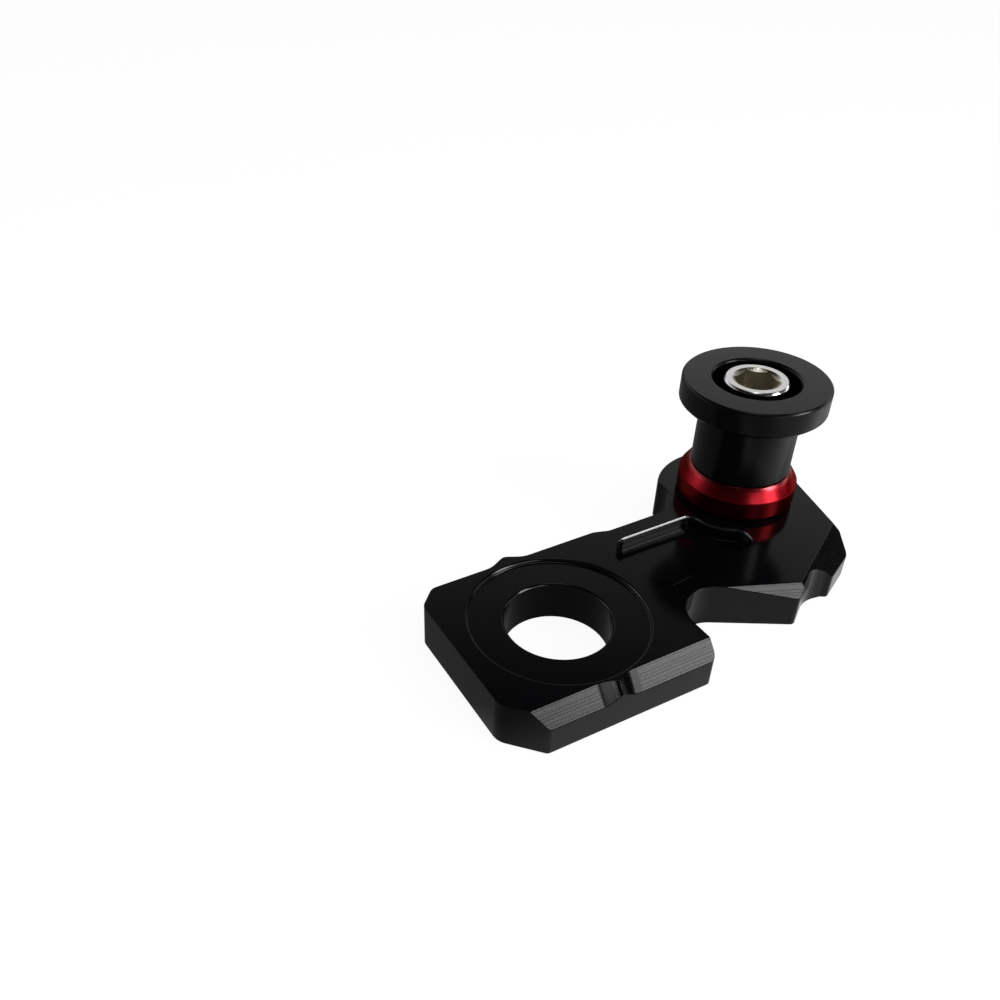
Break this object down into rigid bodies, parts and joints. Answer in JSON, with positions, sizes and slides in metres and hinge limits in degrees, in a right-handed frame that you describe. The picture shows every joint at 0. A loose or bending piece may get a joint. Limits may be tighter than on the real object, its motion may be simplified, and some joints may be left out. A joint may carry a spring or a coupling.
{
  "type": "motorcycle chain adjuster",
  "caption": "Milled swingarm end plate with an axle bore in a round seat, an open throat, a bevelled head and a bolted flanged stand spool on a coloured collar ring.",
  "frame": {"origin": "on the axle bore's axis, level with the plate's underside", "axes": "+X from the axle bore towards the stand spool's end, +Y away from the milled notch of the body, +Z along the bore's axis, out of the face with the round seat and the spool"},
  "size_m": [0.1152, 0.0646, 0.0455],
  "materials": {
    "black_anodised": "satin black anodised, fine milling lines on the bevels",
    "red_anodised": "bright red anodised",
    "black_satin": "satin black anodised",
    "stainless_steel": "polished stainless"
  },
  "bodies": {
    "root": {"adjuster_plate": "black_anodised", "collar_ring": "red_anodised", "spool": "black_satin", "spool_bolt": "stainless_steel"}
  },
  "joints": []
}
